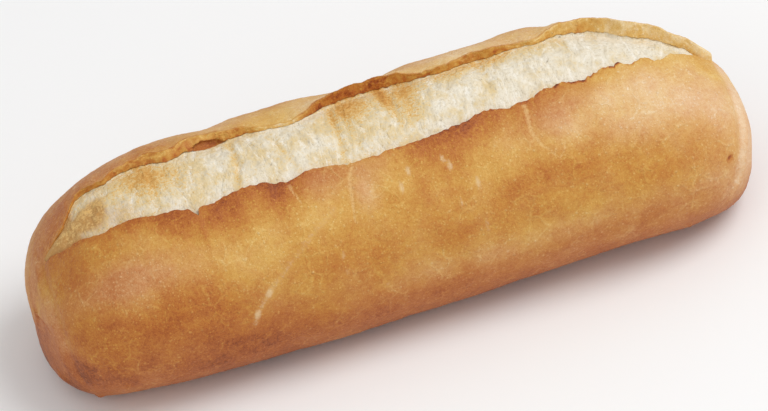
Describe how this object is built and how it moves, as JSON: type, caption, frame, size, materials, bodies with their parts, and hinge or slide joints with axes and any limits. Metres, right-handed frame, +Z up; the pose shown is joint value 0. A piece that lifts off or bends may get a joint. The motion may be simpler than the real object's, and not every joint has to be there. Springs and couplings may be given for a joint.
{
  "type": "bolillo roll",
  "caption": "Crusty white bread roll, long and blunt-ended with a flat base, slashed along the top so that pale crumb shows beside a raised, toasted ear.",
  "frame": {"origin": "on the surface that the roll rests on, below the middle of its bounding box", "axes": "+X along the roll towards its right end, +Y across it towards the side with the raised ear, +Z up from the face it rests on"},
  "size_m": [0.178, 0.0612, 0.05],
  "materials": {
    "crust": "dry baked crust, golden tan and speckled, with pale crumb in the slash"
  },
  "bodies": {
    "root": {"loaf": "crust"}
  },
  "joints": []
}
